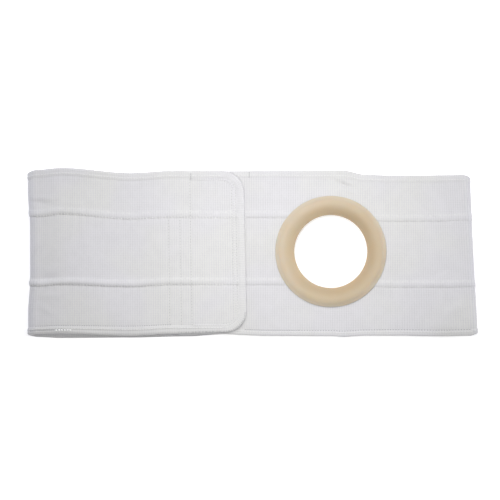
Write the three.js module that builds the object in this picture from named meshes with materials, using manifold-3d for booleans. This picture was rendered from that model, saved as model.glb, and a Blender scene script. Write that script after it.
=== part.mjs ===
// A wide elastic support belt with a ringed opening, closed by its hook flap into a loop that lies flat.
// Millimetres. X runs along the belt, Y across its width and Z up, with the flap and the ring on top.
// The origin is at the middle of the loop's footprint, on the surface that it lies on.
import * as THREE from 'three';
import { mergeVertices } from 'three/addons/utils/BufferGeometryUtils.js';
import Module from 'manifold-3d';

const wasm = await Module();
wasm.setup();

// Cloth: thicknesses, and the lapped seams between the three elastic strips
const CLOTH = 1.5;                    // an elastic strip
const TAPE = 1.0;                     // the binding tape
const HOOK = 1.6;                     // the hook panel under the flap
const GAP = 0.3;                      // clearance between pieces that are sewn together
const LAP = 7;                        // how far a strip covers the next one down
const RAMP = 4;                       // the run in which it climbs onto it
const TUCKED = CLOTH - GAP;           // the covered edge, pressed thin
const PROUD = CLOTH + GAP + TAPE;     // outer side of the bindings and of the lapped seams
const EDGE = TAPE + GAP;              // from a strip's edge to the outside of its binding

// Loop: heights of the inner face, and the middles of the two folds
const HOLLOW = 10.5;                  // free height inside the flattened loop
const BACK = PROUD;                   // the back layer rests on its seams and bindings
const FRONT = BACK + HOLLOW;
const FLAP = FRONT + PROUD + GAP + HOOK + GAP;
const LEFT_TOP = 17.2;                // where the left fold meets the front
const RIGHT_TOP = 15.2;               // where the right fold meets the front
const LEFT_X = -233.83;
const RIGHT_X = 230.26;
const HIDDEN_END = -80;               // the end of the belt that the flap covers
const FLAP_END = -8.1;
const CORNER = 24;                    // radius of the flap's corners

// Opening and ring
const RING_X = 84.1;
const RING_Y = 1.1;
const BORE_R = 39.7;
const NECK_R = 46.5;
const RING_R = 60.3;
const BACK_FLANGE_R = 55;
const BACK_FLANGE = 2;
const CROWN = 4.8;                    // height of the ring above the cloth
const CREST_R = 52;                   // the ring's highest line
const LIP = 1.6;                      // thickness of its outer edge

// Hook panel
const HOOK_LEFT = -67.5;
const HOOK_RIGHT = -18.5;
const HOOK_TOP = 78;
const HOOK_BOTTOM = -74.8;
const HOOK_CORNER = 14;

// Facets
const FRONT_STEP = 16;
const BACK_STEP = 46;
const FOLD_STEPS = 10;
const CORNER_STEPS = 6;
const RING_SIDES = 72;

const table = (columns, rows) => {
  const names = columns.split(' ');
  return rows.map((row) => Object.fromEntries(names.map((name, i) => [name, row[i]])));
};

// One row for each crest, trough or end of a run. lift is the height of the inner face, top, seam1, seam2
// and bottom are the y of the edges and of the lapped seams, and hem is the width of the binding. slant
// leans the section along X, and pinch draws the middle of its width towards +X.
const COLUMNS = 'x lift top seam1 seam2 bottom hem slant pinch';
const FRONT_RUN = table(COLUMNS, [
  [HIDDEN_END, FRONT, 87.5, 38.3, -34.6, -88.4, 6.3, 0, 0],
  [20, FRONT, 87.7, 38.2, -34.6, -89.8, 6.3, 0, 0],
  [RING_X, FRONT, 88.5, 37.5, -34.9, -90.6, 6.3, 0, 0],
  [99.5, FRONT, 88.5, 37.0, -35.1, -91.0, 6.3, 0, 0],
  [128.5, FRONT, 82.6, 35.2, -35.5, -89.5, 6.3, 0, 0],
  [150.5, FRONT, 82.6, 34.9, -35.5, -89.5, 6.3, 0, 0],
  [203.5, 14.6, 82.6, 34.8, -35.5, -90.3, 6.3, -0.035, 0],
  [RIGHT_X, RIGHT_TOP, 83.2, 35.8, -35.1, -89.6, 6.3, -0.051, 0],
]);
const BACK_RUN = table(COLUMNS, [
  [RIGHT_X, BACK, 83.2, 35.8, -35.1, -89.6, 6.3, -0.051, 0],
  [118.5, BACK, 81.8, 35.6, -35.1, -88.8, 6.5, 0, 0],
  [-57, BACK, 84.0, 37.0, -35.6, -89.1, 7.0, 0, 0],
  [-131.5, BACK, 84.6, 37.2, -36.1, -91.0, 7.5, 0, 0],
  [-206.5, BACK, 88.4, 38.3, -36.1, -91.3, 7.5, 0, 0],
  [LEFT_X, BACK, 88.6, 38.3, -36.1, -90.6, 7.5, 0, 1.9],
]);
const FLAP_RUN = table(COLUMNS, [
  [LEFT_X, LEFT_TOP, 89.6, 38.3, -36.1, -87.2, 7.5, 0, 1.9],
  [-206.5, 19.0, 91.3, 41.0, -34.5, -86.6, 7.5, 0, 0],
  [-131.5, 17.2, 85.7, 36.8, -36.8, -87.6, 7.5, 0, 0],
  [-87.5, FLAP, 88.0, 38.3, -34.5, -85.6, 7.5, 0, 0],
  [FLAP_END - CORNER, FLAP, 88.0, 37.9, -34.5, -84.8, 7.5, -0.012, 0],
  [FLAP_END, FLAP, 88.0, 37.8, -34.5, -84.8, 7.5, -0.0206, 0],
]);
const PINCH_FROM = 28;                // a pinch is full nearer the middle of the width than this
const PINCH_TO = 65;                  // and has died away here

const eased = (t) => t * t * (3 - 2 * t);
const between = (a, b, t) =>
  Object.fromEntries(Object.keys(a).map((name) => [name, a[name] + (b[name] - a[name]) * t]));

const pinched = (y) =>
  1 - eased(THREE.MathUtils.clamp((Math.abs(y) - PINCH_FROM) / (PINCH_TO - PINCH_FROM), 0, 1));

// A section of the loop: its row, its place, and the outward normal of the cloth in the XZ plane
const station = (row, x, z, normalX, normalZ) => ({
  ...row,
  place: (y, n) => new THREE.Vector3(
    x + n * normalX + row.slant * y + row.pinch * pinched(y),
    y,
    z + n * normalZ,
  ),
});

// Sections along the rows of a run; heading is 1 towards +X and -1 towards -X
function runStations(rows, step, heading) {
  const found = [];
  rows.slice(1).forEach((end, i) => {
    const start = rows[i];
    const span = end.x - start.x;
    const count = Math.ceil(Math.abs(span) / step);
    for (let k = i ? 1 : 0; k <= count; k += 1) {
      const t = k / count;
      const row = between(start, end, eased(t));
      const slope = ((end.lift - start.lift) * 6 * t * (1 - t)) / span;
      const length = Math.hypot(1, slope);
      const normalX = (-heading * slope) / length;
      found.push(station(row, start.x + span * t, row.lift, normalX, heading / length));
    }
  });
  return found;
}

// Sections round a fold, between the last row of one run and the first row of the next
function foldStations(start, end, from, to) {
  const radius = Math.abs(start.lift - end.lift) / 2;
  const middle = (start.lift + end.lift) / 2;
  return Array.from({ length: FOLD_STEPS - 1 }, (_, k) => {
    const t = (k + 1) / FOLD_STEPS;
    const angle = THREE.MathUtils.degToRad(from + (to - from) * t);
    const normalX = Math.cos(angle);
    const normalZ = Math.sin(angle);
    const row = between(start, end, t);
    return station(row, start.x + radius * normalX, middle + radius * normalZ, normalX, normalZ);
  });
}

// Sections round the flap's corners, where both edges draw in along an arc
function cornerStations(start, end) {
  return Array.from({ length: CORNER_STEPS }, (_, k) => {
    const angle = ((k + 1) / CORNER_STEPS) * (Math.PI / 2);
    const row = between(start, end, Math.sin(angle));
    const drawnIn = (CORNER - EDGE) * (1 - Math.cos(angle));
    row.top -= drawnIn;
    row.bottom += drawnIn;
    return station(row, start.x + (CORNER - EDGE) * Math.sin(angle), FLAP, 0, 1);
  });
}

const first = (rows) => rows[0];
const last = (rows) => rows[rows.length - 1];

const frontStations = runStations(FRONT_RUN, FRONT_STEP, 1);
const aroundStations = [
  ...foldStations(last(FRONT_RUN), first(BACK_RUN), 90, -90),
  ...runStations(BACK_RUN, BACK_STEP, -1),
  ...foldStations(last(BACK_RUN), first(FLAP_RUN), 270, 90),
  ...runStations(FLAP_RUN.slice(0, -1), FRONT_STEP, 1),
];
const flapEndStations = cornerStations(FLAP_RUN[FLAP_RUN.length - 2], last(FLAP_RUN));
const loopStations = [...frontStations, ...aroundStations];
const stripStations = [...loopStations, ...flapEndStations];
const ringIndex = frontStations.findIndex((s) => s.x === RING_X);

// A closed solid through the sections. outline(section) gives its corners as [y, n], with n from the inner
// face outwards, in the same order at every section.
function loft(sections, outline) {
  const contours = sections.map((s) => outline(s).map(([y, n]) => new THREE.Vector2(y, n)));
  if (THREE.ShapeUtils.isClockWise(contours[0])) contours.forEach((c) => c.reverse());
  const count = contours[0].length;
  const points = sections.flatMap((s, i) => contours[i].map((p) => s.place(p.x, p.y)));
  const faces = [];
  for (let i = 0; i + 1 < sections.length; i += 1) {
    for (let j = 0; j < count; j += 1) {
      const a = i * count + j;
      const b = i * count + ((j + 1) % count);
      faces.push(a, b, b + count, a, b + count, a + count);
    }
  }
  const lastRing = (sections.length - 1) * count;
  THREE.ShapeUtils.triangulateShape(first(contours), []).forEach(([a, b, c]) => faces.push(c, b, a));
  THREE.ShapeUtils.triangulateShape(last(contours), []).forEach(([a, b, c]) =>
    faces.push(a + lastRing, b + lastRing, c + lastRing));
  return new THREE.BufferGeometry().setFromPoints(points).setIndex(faces);
}

// Solids for cutting, and back
function solid(geometry) {
  const bare = geometry.clone();
  bare.deleteAttribute('normal');
  bare.deleteAttribute('uv');
  const merged = mergeVertices(bare, 1e-3);
  return new wasm.Manifold(new wasm.Mesh({
    numProp: 3,
    vertProperties: merged.attributes.position.array,
    triVerts: new Uint32Array(merged.index.array),
  }));
}

function geometryOf(made) {
  const mesh = made.getMesh();
  return new THREE.BufferGeometry()
    .setAttribute('position', new THREE.BufferAttribute(mesh.vertProperties, 3))
    .setIndex(new THREE.BufferAttribute(mesh.triVerts, 1));
}

// Cross-sections of the strips. grow swells one all round, for cutting clearance into its neighbour.
const lappedEdge = (seam, grow) => [
  [seam + LAP + RAMP, -grow],
  [seam + LAP, TUCKED + GAP - grow],
  [seam - grow, TUCKED + GAP - grow],
  [seam - grow, PROUD + grow],
  [seam + LAP, PROUD + grow],
  [seam + LAP + RAMP, CLOTH + grow],
];

const tuckedEdge = (seam, grow) => [
  [seam - 2, CLOTH + grow],
  [seam - 0.5, TUCKED + grow],
  [seam + LAP - GAP + grow, TUCKED + grow],
  [seam + LAP - GAP + grow, -grow],
];

const upperOutline = (grow = 0) => (s) => [
  [s.top - EDGE, CLOTH + grow],
  [s.top - EDGE, -grow],
  ...lappedEdge(s.seam1, grow),
];

const middleOutline = (grow = 0) => (s) => [...tuckedEdge(s.seam1, grow), ...lappedEdge(s.seam2, grow)];

const lowerOutline = (grow = 0) => (s) => [
  ...tuckedEdge(s.seam2, grow),
  [s.bottom + EDGE, -grow],
  [s.bottom + EDGE, CLOTH + grow],
];

// The binding's U, as distances outwards from the belt's edge and heights above the inner face
const bindingOutline = (hem) => [
  [-hem, CLOTH + GAP],
  [-TAPE, CLOTH + GAP],
  [-TAPE, -GAP],
  [-hem, -GAP],
  [-hem, -GAP - TAPE],
  [0, -GAP - TAPE],
  [0, PROUD],
  [-hem, PROUD],
];

// A strip with a round hole for the ring's neck, through the front layer alone
function holedStrip(sections, outline, clearance) {
  const radius = NECK_R + clearance;
  const hole = new THREE.CylinderGeometry(radius, radius, HOLLOW, RING_SIDES);
  hole.rotateX(Math.PI / 2);
  hole.translate(RING_X, RING_Y, FRONT + PROUD / 2);
  return solid(loft(sections, outline)).subtract(solid(hole));
}

const cutStrip = (sections, outline) => geometryOf(holedStrip(sections, outline, GAP));

function upperBinding() {
  return loft(loopStations, (s) => bindingOutline(s.hem).map(([out, n]) => [s.top + out, n]));
}

function lowerBinding() {
  return loft(loopStations, (s) => bindingOutline(s.hem).map(([out, n]) => [s.bottom - out, n]));
}

// The binding goes on round the flap: along one corner, down the end and along the other corner. On the way
// down it steps over the two lapped seams.
function flapBinding() {
  const start = FLAP_RUN[FLAP_RUN.length - 2];
  const end = last(FLAP_RUN);
  const arcX = start.x + GAP;
  const corner = (middleY, from, to) =>
    Array.from({ length: CORNER_STEPS + 1 }, (_, k) => {
      const angle = THREE.MathUtils.degToRad(from + ((to - from) * k) / CORNER_STEPS);
      return { middleY, outX: Math.cos(angle), outY: Math.sin(angle), rise: 0 };
    });
  const step = (seam) => [
    { middleY: seam + LAP + RAMP + 1, outX: 1, outY: 0, rise: 0 },
    { middleY: seam + LAP + 0.5, outX: 1, outY: 0, rise: EDGE },
    { middleY: seam - 1, outX: 1, outY: 0, rise: EDGE },
    { middleY: seam - 3, outX: 1, outY: 0, rise: 0 },
  ];
  const sections = [
    ...corner(end.top - CORNER, 90, 0),
    ...step(end.seam1),
    ...step(end.seam2),
    ...corner(end.bottom + CORNER, 0, -90),
  ];
  sections.forEach((s) => {
    s.place = (out, n) => {
      const y = s.middleY + (CORNER + out) * s.outY;
      const slant = start.slant + (end.slant - start.slant) * s.outX;
      const x = arcX + (CORNER - GAP + out) * s.outX + slant * y;
      return new THREE.Vector3(x, y, FLAP + n + (n > CLOTH ? s.rise : 0));
    };
  });
  return loft(sections, () => bindingOutline(end.hem));
}

function hookPanel() {
  const arcX = HOOK_RIGHT - HOOK_CORNER;
  const outline = new THREE.Shape();
  outline.moveTo(HOOK_LEFT, HOOK_BOTTOM);
  outline.absarc(arcX, HOOK_BOTTOM + HOOK_CORNER, HOOK_CORNER, -Math.PI / 2, 0);
  outline.absarc(arcX, HOOK_TOP - HOOK_CORNER, HOOK_CORNER, 0, Math.PI / 2);
  outline.lineTo(HOOK_LEFT, HOOK_TOP);
  outline.closePath();
  return new THREE.ExtrudeGeometry(outline, {
    depth: HOOK, bevelEnabled: false, curveSegments: CORNER_STEPS,
  });
}

// The ring is a grommet: a broad low front flange that slopes into the bore, a neck, and a thin back flange.
// Heights are from the inner face of the front layer.
function ringProfile() {
  const under = -GAP - BACK_FLANGE;
  const seat = CLOTH + GAP;
  const top = CLOTH + CROWN;
  const rim = new THREE.CubicBezierCurve(
    new THREE.Vector2(RING_R - 0.5, seat + LIP),
    new THREE.Vector2(RING_R - 3, seat + LIP + 1.2),
    new THREE.Vector2(CREST_R + 4, top),
    new THREE.Vector2(CREST_R, top),
  );
  const slope = new THREE.CubicBezierCurve(
    new THREE.Vector2(CREST_R, top),
    new THREE.Vector2(CREST_R - 5, top),
    new THREE.Vector2(BORE_R + 1.5, under + 5),
    new THREE.Vector2(BORE_R, under + 1),
  );
  return [
    new THREE.Vector2(BORE_R, under + 1),
    new THREE.Vector2(BORE_R + 0.6, under),
    new THREE.Vector2(BACK_FLANGE_R - 0.8, under),
    new THREE.Vector2(BACK_FLANGE_R, under + 0.8),
    new THREE.Vector2(BACK_FLANGE_R, -GAP),
    new THREE.Vector2(NECK_R, -GAP),
    new THREE.Vector2(NECK_R, seat),
    new THREE.Vector2(RING_R - 0.5, seat),
    new THREE.Vector2(RING_R, seat + 0.5),
    new THREE.Vector2(RING_R, seat + LIP - 0.5),
    ...rim.getPoints(5),
    ...slope.getPoints(8).slice(1),
  ];
}

// Its seat is hollowed where the two lapped seams run under it.
function openingRing() {
  const turned = new THREE.LatheGeometry(ringProfile(), RING_SIDES);
  turned.rotateX(Math.PI / 2);
  turned.translate(RING_X, RING_Y, FRONT);
  const near = frontStations.filter((s) => Math.abs(s.x - RING_X) < RING_R + FRONT_STEP);
  const laps = [upperOutline(GAP), middleOutline(GAP)].map((outline) => holedStrip(near, outline, GAP / 3));
  return geometryOf(laps.reduce((ring, lap) => ring.subtract(lap), solid(turned)));
}

const elastic = new THREE.MeshStandardMaterial({ color: 0xe3e3e6, roughness: 0.92, metalness: 0 });
const tape = new THREE.MeshStandardMaterial({ color: 0xe6e6e8, roughness: 0.88, metalness: 0 });
const hooks = new THREE.MeshStandardMaterial({ color: 0xececea, roughness: 0.6, metalness: 0 });
const rubber = new THREE.MeshStandardMaterial({ color: 0xd4c0a0, roughness: 0.55, metalness: 0 });

const belt = new THREE.Group();
const add = (name, geometry, material) => {
  const mesh = new THREE.Mesh(geometry, material);
  mesh.name = name;
  belt.add(mesh);
  return mesh;
};

add('upper_panel', cutStrip(stripStations, upperOutline()), elastic);
add('middle_panel_front', cutStrip(stripStations.slice(0, ringIndex + 1), middleOutline()), elastic);
add('middle_panel', cutStrip(stripStations.slice(ringIndex), middleOutline()), elastic);
add('lower_panel', cutStrip(stripStations, lowerOutline()), elastic);
add('upper_binding', upperBinding(), tape);
add('lower_binding', lowerBinding(), tape);
add('flap_binding', flapBinding(), tape);
add('hook_panel', hookPanel(), hooks).position.z = FLAP - GAP - HOOK;
add('opening_ring', openingRing(), rubber);

export default belt;
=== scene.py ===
"""The look of a wide elastic support belt that lies flat as a closed loop: ribbed elastic strips with lapped
seams, bound edges, rows of stitches, hook tape under the flap, and a moulded ring round the opening.

Lengths are millimetres, with the names of the part's source and nearly its values, until a mesh is made in
metres.
"""

import math

import bpy
import numpy as np
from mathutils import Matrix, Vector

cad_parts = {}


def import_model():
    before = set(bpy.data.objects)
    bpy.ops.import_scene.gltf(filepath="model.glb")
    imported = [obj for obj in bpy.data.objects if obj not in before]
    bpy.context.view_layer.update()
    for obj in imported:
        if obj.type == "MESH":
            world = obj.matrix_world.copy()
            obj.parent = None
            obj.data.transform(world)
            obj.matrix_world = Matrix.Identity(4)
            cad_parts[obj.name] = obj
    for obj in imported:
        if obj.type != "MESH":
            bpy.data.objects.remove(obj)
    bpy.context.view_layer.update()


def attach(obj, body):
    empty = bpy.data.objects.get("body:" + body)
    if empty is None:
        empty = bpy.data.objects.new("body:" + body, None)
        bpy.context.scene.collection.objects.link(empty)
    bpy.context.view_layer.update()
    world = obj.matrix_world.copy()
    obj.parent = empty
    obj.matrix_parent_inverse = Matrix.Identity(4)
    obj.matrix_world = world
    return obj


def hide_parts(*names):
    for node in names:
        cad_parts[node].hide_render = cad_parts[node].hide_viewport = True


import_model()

MM = 0.001

# Cloth: thicknesses, and the lapped seams between the strips
CLOTH = 1.5
TAPE = 1.0
HOOK = 1.6
GAP = 0.3
LAP = 7
THINNEST = 0.22           # cloth at the edge of a flat seam
TUCKED = CLOTH - GAP
PROUD = CLOTH + GAP + TAPE
EDGE = TAPE + GAP

# Loop: heights of the inner face, and the middles of the two folds
HOLLOW = 10.5
BACK = PROUD
FRONT = BACK + HOLLOW
FLAP = FRONT + PROUD + GAP + HOOK + GAP
LEFT_TOP = 17.2
RIGHT_TOP = 15.2
LEFT_X = -233.83
RIGHT_X = 230.37
HIDDEN_END = -80
FLAP_END = -8.1
CORNER = 24
PINCH_FROM = 28           # distance from the middle line where a section's pinch starts to fade
PINCH_TO = 65             # and where it is gone
FOLD_DRAW = 2.2           # how far a fold draws in the edges of the belt
LOWER_LEFT_DRAW = 0.4     # and at the lower left, where the tape is bunched
FOLD_FULLNESS = 0.2       # how far the cloth stands out at the middle of a fold

# Opening and ring
RING_X = 84.1
RING_Y = 1.1
BORE_R = 39.3
NECK_R = 46.5
RING_R = 59.95
BACK_FLANGE_R = 55
BACK_FLANGE = 2
CROWN = 4.8
CREST_R = 52
LIP = 1.6

# Hook panel
HOOK_LEFT = -67.5
HOOK_RIGHT = -18.5
HOOK_TOP = 78
HOOK_BOTTOM = -74.8
HOOK_CORNER = 14

# Weave and stitches
RIB = 2.5                 # pitch of the elastic's ribs along the belt
RIB_HEIGHT = 0.06
STEP = RIB / 3            # spacing of the sections
STITCH = 3.2              # pitch of the straight stitches
OVERLOCK = 1.7            # pitch of the stitches across a lapped seam
TOOTH = 3.4               # pitch of the loops that show under it
SEAM_FIRST = 3.0          # length along the belt of the first stitch across a seam
TACK = 1.3                # pitch of the stitches in a bar tack
SEAM_PUCKER = 0.12        # height of the puckers next to the lapped seams
HEM_PUCKER = 0.1          # and of those next to the bound edges
GROOVE_DEPTH = 0.2        # of the rows of stitches across the flap
GROOVE_WIDTH = 0.9

# One row for each crest, trough or end of a run. lift is the height of the inner face, top, seam1, seam2 and
# bottom are the y of the edges and of the lapped seams, hem1 and hem2 are the widths of the binding on the
# upper and the lower edge, and twice is how far it is folded twice. slant leans the section along X, and
# pinch draws the middle of its width towards +X. loose is how far the cloth ripples, and full1 and full2 are
# how full its two lapped seams stand.
COLUMNS = ("x", "lift", "top", "seam1", "seam2", "bottom", "hem1", "hem2", "twice", "slant", "pinch", "loose",
           "full1", "full2")
FRONT_RUN = (
    (HIDDEN_END, FRONT, 87.5, 37.6, -34.8, -88.9, 6.6, 5.8, 0, 0, 0, 0.1, 0.8, 0.7),
    (-38, FRONT, 87.7, 37.6, -34.8, -88.2, 6.6, 5.8, 0, 0, 0, 0.1, 0.8, 0.7),
    (20, FRONT, 88.1, 37.5, -34.9, -90.0, 6.7, 5.8, 0, 0, 0, 0.2, 1.0, 0.7),
    (RING_X, FRONT, 88.5, 36.8, -35.2, -90.3, 8.3, 5.9, 0, 0, 0, 0.3, 0.9, 0.7),
    (97.0, FRONT, 88.5, 36.2, -35.5, -91.1, 8.3, 5.9, 0, 0, 0, 0.3, 0.75, 0.65),
    (121.5, FRONT, 84.0, 34.2, -36.8, -89.8, 7.4, 5.9, 0, 0, 0, 0.3, 0.7, 0.65),
    (150.5, FRONT, 83.0, 33.5, -37.5, -89.8, 7.1, 6.2, 0, 0, 0, 0.4, 0.7, 0.65),
    (203.5, 14.6, 82.9, 33.7, -37.6, -90.6, 7.0, 6.5, 0, -0.035, 0, 0.8, 0.65, 0.8),
    (RIGHT_X, RIGHT_TOP, 83.9, 35.0, -37.1, -89.9, 7.4, 6.6, 0, -0.051, 0, 0.5, 0.45, 0.6),
)
BACK_RUN = (
    (RIGHT_X, BACK, 83.9, 35.0, -37.1, -89.9, 7.4, 6.6, 0, -0.051, 0, 0, 0.3, 0.3),
    (118.5, BACK, 81.8, 35.6, -34.8, -87.8, 6.5, 6.5, 0, 0, 0, 0, 1.0, 1.0),
    (-30, BACK, 84.0, 37.0, -35.6, -88.4, 7.0, 7.0, 0, 0, 0, 0, 1.0, 1.0),
    (-70, BACK, 84.2, 37.1, -35.7, -90.7, 7.2, 7.2, 0.2, 0, 0, 0, 1.0, 1.0),
    (-131.5, BACK, 84.6, 37.2, -36.1, -92.0, 7.5, 7.5, 0.5, 0, 0, 0, 1.0, 1.0),
    (-206.5, BACK, 87.4, 38.3, -35.8, -92.5, 7.5, 7.5, 1.0, 0, 0, 0, 1.0, 1.0),
    (LEFT_X, BACK, 87.4, 38.7, -36.2, -91.4, 8.3, 7.8, 0.7, 0, 1.9, 0, 0.2, 0.2),
)
FLAP_RUN = (
    (LEFT_X, LEFT_TOP, 89.1, 38.7, -36.2, -87.8, 8.3, 7.8, 0.7, 0, 1.9, 0.6, 1.4, 1.75),
    (-206.5, 19.0, 91.3, 41.3, -34.6, -87.4, 8.3, 8.3, 1.0, 0, 0, 1.0, 1.4, 1.95),
    (-131.5, 17.2, 85.7, 36.0, -37.0, -89.8, 8.2, 9.9, 0.9, 0, 0, 1.0, 0.9, 1.4),
    (-87.5, FLAP, 88.0, 37.9, -34.7, -87.6, 7.7, 9.2, 0.7, 0, 0, 0.3, 0.9, 1.15),
    (FLAP_END - CORNER, FLAP, 88.0, 37.3, -34.7, -86.2, 7.5, 7.5, 0.2, -0.012, 0, 0.1, 0.65, 0.65),
    (FLAP_END, FLAP, 88.0, 37.2, -34.7, -86.2, 7.5, 7.5, 0.2, -0.0206, 0, 0.1, 0.5, 0.5),
)
FULLNESS = {"seam1": "full1", "seam2": "full2"}
HEMS = {"top": "hem1", "bottom": "hem2"}
TOP_COLUMN = COLUMNS.index("top")
BOTTOM_COLUMN = COLUMNS.index("bottom")

# Edges of a strip, as distance from its seam or hem line, height of the outer face, height of the inner face
LAPPED_EDGE = (
    (0.0, 1.62, 1.32),
    (0.6, 1.94, 1.38),
    (1.3, 2.22, 1.44),
    (2.1, 2.46, 1.5),
    (3.0, 2.59, 1.5),
    (3.8, 2.6, 1.5),
    (4.6, 2.52, 1.5),
    (5.4, 2.35, 1.5),
    (6.2, 2.1, 1.3),
    (7.0, 1.84, 0.9),
    (7.8, 1.63, 0.4),
    (8.8, 1.52, 0.1),
    (10.5, 1.5, 0.0),
    (13.0, 1.5, 0.0),
)
TUCKED_EDGE = (
    (5.0, 1.5, 0.0),
    (3.0, 1.46, 0.0),
    (1.6, 1.36, 0.0),
    (0.6, 1.22, 0.0),
    (-0.6, TUCKED - 0.05, 0.0),
    (-3.0, TUCKED, 0.0),
    (GAP - LAP, TUCKED, 0.0),
)
STITCHED_HEM = (
    (2.6, 1.5, 0.0),
    (0.7, 1.38, 0.12),
    (-0.6, 1.42, 0.06),
    (-2.2, 1.5, 0.0),
)

# The binding's U, as distance inwards from the belt's edge (first a share of the hem, then more millimetres)
# and height above the inner face of the cloth, where it is folded once and where it is folded twice
BINDING = (
    (1.0, 0.2, 1.55, 1.55),
    (1.0, 0.0, 1.62, 1.66),
    (0.9, 0.0, 1.78, 1.92),
    (0.8, 0.0, 1.93, 2.2),
    (0.68, 0.0, 2.04, 2.46),
    (0.6, 0.0, 2.0, 2.28),
    (0.5, 0.0, 1.96, 1.96),
    (0.42, 0.0, 2.0, 2.22),
    (0.32, 0.0, 2.04, 2.42),
    (0.0, 1.6, 2.0, 2.34),
    (0.0, 0.95, 1.8, 2.04),
    (0.0, 0.42, 1.38, 1.52),
    (0.0, 0.1, 0.8, 0.88),
    (0.0, 0.0, 0.3, 0.3),
    (0.0, 0.1, -0.35, -0.35),
    (0.0, 0.5, -0.95, -0.95),
    (0.0, 1.4, -1.2, -1.2),
    (0.5, 0.0, -1.28, -1.28),
    (1.0, -1.3, -1.15, -1.15),
    (1.0, -0.3, -1.05, -1.05),
    (1.0, 0.0, -0.7, -0.7),
    (1.0, -0.25, -0.3, -0.3),
    (0.0, 1.0, -0.3, -0.3),
    (0.0, 1.0, 1.58, 1.58),
)
CREST = 4                 # the row of that table which carries the stitches
CREST_SHARE = BINDING[CREST][0]
UNDER_TAPE = 0.14 - EDGE  # height of the stitches on the tape's inner side

# The hook panel's edge, which shows through the flap as a low ridge: its right, top and bottom edge and the
# radius of its corners, and then its section as distance inwards and height
BORDER = (FLAP_END - 11.5, 78.9, -78.6, 12.5)
BORDER_LEAD = 33          # its straight stretch before and after the corners
BORDER_ROWS = 2.1, -2.1   # how far inside it its two rows of stitches lie
RIDGE = (
    (1.4, -0.15),
    (1.0, 0.18),
    (0.5, 0.4),
    (0.0, 0.48),
    (-0.5, 0.4),
    (-1.0, 0.18),
    (-1.4, -0.15),
    (0.0, -0.3),
)

# Rows of stitches across the flap: x at the upper and at the lower end, then y at both ends
STITCH_LINES = (
    (-90.9, -89.5, 36.0, -79.0),
    (-78.7, -77.1, 36.0, -79.0),
    (-67.9, -65.8, 80.0, -78.0),
)

# Small creases of the front: middle, half length, half width, height (a valley below 0), direction in degrees
CREASES = (
    (94.5, 77.6, 8.0, 2.5, 1.6, -28),
    (100.0, 72.6, 8.5, 2.5, -3.2, -28),
    (105.0, 67.0, 7.0, 2.6, 1.2, -28),
    (-224.0, 58.5, 13.0, 2.6, 0.8, -4),
    (-229.0, 54.0, 10.0, 2.4, -0.9, -6),
    (-196.0, 53.0, 9.0, 2.8, 0.5, -6),
    (-219.0, -28.5, 17.0, 4.5, -1.4, 2),
    (-218.0, -46.0, 12.0, 4.0, 0.5, 6),
    (25.0, 51.0, 7.0, 3.0, -0.7, 12),
    (205.0, -20.0, 11.0, 4.0, -0.7, 20),
    (213.0, -62.0, 12.0, 5.0, 0.6, 35),
    (-222.0, -62.0, 10.0, 4.0, 0.6, -30),
    (212.0, -95.0, 34.0, 9.0, -3.2, 0),
    (-62.0, -90.0, 26.0, 6.5, -1.3, 0),
    (-134.0, -96.0, 42.0, 9.0, -3.8, 0),
    (-222.0, -93.0, 30.0, 8.0, -2.9, 0),
    (82.0, 93.0, 28.0, 7.5, 1.5, 0),
)
CREASE_CLEARANCE = 6      # distance beside the ring in which they fade

# Slow ripples of the loose cloth: height, millimetres for each radian along the belt and across it, and phase
RIPPLES = (
    (0.34, 19.0, 27.0, 0.6),
    (0.26, 11.3, -21.0, 2.1),
    (0.11, 31.0, 15.0, 1.7),
    (0.11, 31.0, -15.0, 0.9),
)


def eased(t):
    t = np.clip(t, 0, 1)
    return t * t * (3 - 2 * t)


# Path of the loop


def run_rows(rows, heading):
    """Rows of a run at every section but its last, with the outward normal; heading is 1 towards +X."""
    made = []
    for start, end in zip(np.array(rows[:-1], float), np.array(rows[1:], float)):
        span = end[0] - start[0]
        count = round(abs(span) / STEP)
        t = np.arange(count) / count
        row = start + (end - start) * eased(t)[:, None]
        row[:, 0] = start[0] + span * t
        slope = (end[1] - start[1]) * 6 * t * (1 - t) / span
        length = np.hypot(1, slope)
        made.append(np.column_stack([row, -heading * slope / length, heading / length]))
    return np.vstack(made)


def fold_rows(start, end, turn_from, turn_to, lower_draw=FOLD_DRAW):
    """Rows round a fold, from the last row of one run to the first row of the next."""
    start, end = np.array(start, float), np.array(end, float)
    radius = abs(start[1] - end[1]) / 2
    count = round(math.pi * radius / STEP)
    t = np.arange(count) / count
    angle = np.radians(turn_from + (turn_to - turn_from) * t)
    row = start + (end - start) * t[:, None]
    row[:, 0] = start[0] + radius * np.cos(angle)
    row[:, 1] = (start[1] + end[1]) / 2 + radius * np.sin(angle)
    row[:, TOP_COLUMN] -= FOLD_DRAW * np.sin(math.pi * t) ** 2
    row[:, BOTTOM_COLUMN] += lower_draw * np.sin(math.pi * t) ** 2
    return np.column_stack([row, np.cos(angle), np.sin(angle)])


def corner_rows(start, end):
    """Rows round the flap's corners, where both edges draw in along an arc."""
    start, end = np.array(start, float), np.array(end, float)
    radius = CORNER - EDGE
    count = round(radius / STEP)
    angle = np.arange(count + 1) / count * math.pi / 2
    row = start + (end - start) * np.sin(angle)[:, None]
    row[:, 0] = start[0] + radius * np.sin(angle)
    row[:, TOP_COLUMN] -= radius * (1 - np.cos(angle))
    row[:, BOTTOM_COLUMN] += radius * (1 - np.cos(angle))
    return np.column_stack([row, np.zeros(count + 1), np.ones(count + 1)])


def sections(rows, s=None):
    """A stretch of the loop as one column of values for each name, with s the length along it."""
    made = {name: rows[:, i : i + 1] for i, name in enumerate(COLUMNS + ("normal_x", "normal_z"))}
    if s is None:
        steps = np.hypot(np.diff(rows[:, 0]), np.diff(rows[:, 1]))
        s = np.concatenate([[0], np.cumsum(steps)])[:, None]
    made["s"] = s
    return made


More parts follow.
